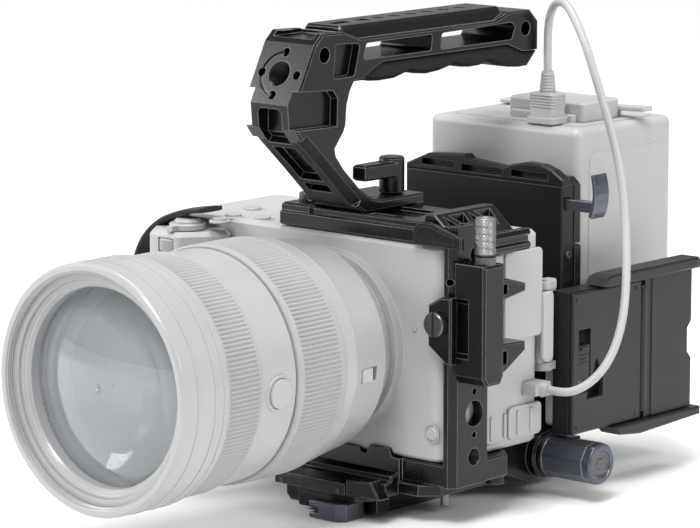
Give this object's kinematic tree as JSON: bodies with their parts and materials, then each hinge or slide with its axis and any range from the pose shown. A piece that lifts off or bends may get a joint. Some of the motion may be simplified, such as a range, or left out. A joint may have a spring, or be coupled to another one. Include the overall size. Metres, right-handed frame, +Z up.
{
  "type": "cinema camera rig",
  "caption": "Camera rig: half cage with a top handle, cable clamp, quick-release base and battery plate round a camera, zoom lens, hooded screen, battery and power cable.",
  "frame": {"origin": "centre of the tripod thread's mouth in the base's standing face", "axes": "+Z up, -Y the way the lens looks, +X the camera's port side, where the cable clamp and the open screen are"},
  "size_m": [0.1699, 0.2809, 0.1805],
  "materials": {
    "rig_black": "black satin anodised",
    "label_black": "black satin anodised",
    "grip_rubber": "matt moulded rubber",
    "mount_black": "fine-grained moulded plastic",
    "hood_black": "fine-grained moulded plastic",
    "accent_blue": "blue-grey satin anodised",
    "silver_steel": "knurled and brushed",
    "dark_steel": "blackened",
    "camera_shell": "pale grey, fine texture",
    "camera_keys": "pale grey, satin",
    "mount_metal": "turned ring",
    "sensor": "coated cover glass",
    "lens_shell": "pale grey, satin",
    "lens_rubber": "pale grey ribbed rubber",
    "lens_glass": "coated glass",
    "battery_shell": "pale grey, fine texture",
    "plug_shell": "pale grey overmould",
    "cable_jacket": "pale grey soft jacket",
    "strap_webbing": "black woven webbing"
  },
  "bodies": {
    "rig": {"half_cage": "rig_black", "side_rail": "rig_black", "handle_body": "rig_black", "clamp_spine": "rig_black", "clamp_bracket": "rig_black", "base_plate": "rig_black", "release_vice": "rig_black", "plate_foot": "rig_black", "name_plate": "label_black", "handle_grip_insert": "grip_rubber", "battery_plate": "mount_black", "plate_cap": "mount_black", "battery_wedge": "mount_black", "release_housing": "mount_black", "stop_pin": "silver_steel", "cage_screws": "dark_steel", "bracket_screw": "dark_steel", "tripod_screw": "dark_steel", "plate_screws": "dark_steel", "clamp_washer": "dark_steel", "camera_body": "camera_shell", "grip_shell": "camera_shell", "screen_hinge_base": "camera_shell", "mount_ring": "mount_metal", "image_sensor": "sensor", "lens_barrel": "lens_shell", "rear_element": "lens_glass", "battery": "battery_shell", "battery_outlet_block": "battery_shell", "battery_plug": "plug_shell", "camera_plug": "plug_shell", "power_cable": "cable_jacket", "hand_strap": "strap_webbing"},
    "handle_lock": {"handle_lever": "rig_black"},
    "clip_screw": {"clamp_thumbscrew": "silver_steel"},
    "clip_jaw": {"clamp_upper_jaw": "rig_black"},
    "swing_lever": {"release_lever": "accent_blue"},
    "side_jaw": {"vice_jaw": "rig_black"},
    "lock_slider": {"plate_slider": "rig_black"},
    "knob": {"foot_knob": "accent_blue"},
    "knob_jaw": {"foot_jaw": "rig_black"},
    "battery_catch": {"battery_release": "accent_blue", "battery_latch": "accent_blue"},
    "screen": {"screen_arm": "camera_shell", "screen_pins": "silver_steel", "screen_panel": "camera_shell", "hood_frame": "hood_black", "hood_front_panel": "hood_black"},
    "hood_flap": {"hood_rear_flap": "hood_black"},
    "hood_catch": {"hood_latch": "hood_black"},
    "focus": {"focus_ring": "lens_rubber"},
    "zoom": {"zoom_ring": "lens_rubber"},
    "lens_front": {"front_barrel": "lens_shell", "front_element": "lens_glass"},
    "mode_switch": {"af_switch": "lens_shell"},
    "hold_key": {"focus_hold_button": "lens_shell"},
    "shutter_key": {"shutter_button": "camera_keys"},
    "shutter_collar": {"zoom_lever": "camera_keys"},
    "dial": {"front_dial": "camera_keys"},
    "front_key": {"front_button": "camera_keys"}
  },
  "joints": [
    {"name": "handle_lever_turn", "type": "hinge", "parent": "rig", "child": "handle_lock", "pos_m": [0.004, 0.0035, 0.1203], "axis": [0, 0, 1], "range_deg": [0, 120]},
    {"name": "clip_screw_turn", "type": "hinge", "parent": "rig", "child": "clip_screw", "pos_m": [0.0662, -0.0186, 0.1063], "axis": [0, 0, -1], "range_deg": [0, 1440]},
    {"name": "clip_jaw_slide", "type": "slide", "parent": "rig", "child": "clip_jaw", "axis": [0, 0, -1], "range_m": [0, 0.0028]},
    {"name": "base_lever_swing", "type": "hinge", "parent": "rig", "child": "swing_lever", "pos_m": [0.0176, -0.0334, 0.0043], "axis": [0, 0, 1], "range_deg": [0, 60]},
    {"name": "side_jaw_slide", "type": "slide", "parent": "rig", "child": "side_jaw", "axis": [-1, 0, 0], "range_m": [0, 0.002]},
    {"name": "lock_slider_slide", "type": "slide", "parent": "rig", "child": "lock_slider", "axis": [1, 0, 0], "range_m": [0, 0.003], "stiffness_N_per_m": 150, "springref_m": -0.001},
    {"name": "knob_turn", "type": "hinge", "parent": "rig", "child": "knob", "pos_m": [0.058, 0.044, 0.0149], "axis": [1, 0, 0], "range_deg": [0, 720]},
    {"name": "knob_jaw_slide", "type": "slide", "parent": "rig", "child": "knob_jaw", "axis": [1, 0, 0], "range_m": [0, 0.0016]},
    {"name": "battery_release_press", "type": "slide", "parent": "rig", "child": "battery_catch", "axis": [-1, 0, 0], "range_m": [0, 0.0022], "stiffness_N_per_m": 400, "springref_m": -0.001},
    {"name": "screen_swing", "type": "hinge", "parent": "rig", "child": "screen", "pos_m": [0.0475, 0.0375, 0.0623], "axis": [0, 0, 1], "range_deg": [-18, 4]},
    {"name": "hood_flap_swing", "type": "hinge", "parent": "screen", "child": "hood_flap", "pos_m": [0.0568, 0.086, 0.0623], "axis": [0, 0, -1], "range_deg": [0, 90]},
    {"name": "hood_latch_slide", "type": "slide", "parent": "screen", "child": "hood_catch", "axis": [0, 0, 1], "range_m": [0, 0.005]},
    {"name": "focus_turn", "type": "hinge", "parent": "rig", "child": "focus", "pos_m": [0, -0.117, 0.0623], "axis": [0, 1, 0], "continuous": true},
    {"name": "zoom_turn", "type": "hinge", "parent": "rig", "child": "zoom", "pos_m": [0, -0.077, 0.0623], "axis": [0, 1, 0], "range_deg": [0, 70]},
    {"name": "lens_extend", "type": "slide", "parent": "rig", "child": "lens_front", "axis": [0, -1, 0], "range_m": [0, 0.03]},
    {"name": "mode_switch_slide", "type": "slide", "parent": "rig", "child": "mode_switch", "axis": [0, 1, 0], "range_m": [0, 0.0036]},
    {"name": "hold_key_press", "type": "slide", "parent": "rig", "child": "hold_key", "axis": [-0.9976, 0, 0.0698], "range_m": [0, 0.0006], "stiffness_N_per_m": 300, "springref_m": -0.0006},
    {"name": "shutter_press", "type": "slide", "parent": "rig", "child": "shutter_key", "axis": [0, 0, -1], "range_m": [0, 0.0007], "stiffness_N_per_m": 300, "springref_m": -0.0006},
    {"name": "shutter_collar_turn", "type": "hinge", "parent": "rig", "child": "shutter_collar", "pos_m": [-0.062, -0.035, 0.0983], "axis": [0, 0, 1], "range_deg": [-20, 20], "stiffness_Nm_per_rad": 0.01},
    {"name": "dial_turn", "type": "hinge", "parent": "rig", "child": "dial", "pos_m": [-0.0635, -0.041, 0.0923], "axis": [0, 0, 1], "continuous": true},
    {"name": "front_key_press", "type": "slide", "parent": "rig", "child": "front_key", "axis": [0, 1, 0], "range_m": [0, 0.0006], "stiffness_N_per_m": 200, "springref_m": -0.0006}
  ],
  "couplings": [
    {"joint": "clip_jaw_slide", "follows": "clip_screw_turn", "m_per_rad": 0.00011141},
    {"joint": "side_jaw_slide", "follows": "base_lever_swing", "m_per_rad": 0.0019099},
    {"joint": "knob_jaw_slide", "follows": "knob_turn", "m_per_rad": 0.00012732},
    {"joint": "lens_extend", "follows": "zoom_turn", "m_per_rad": 0.024554}
  ]
}
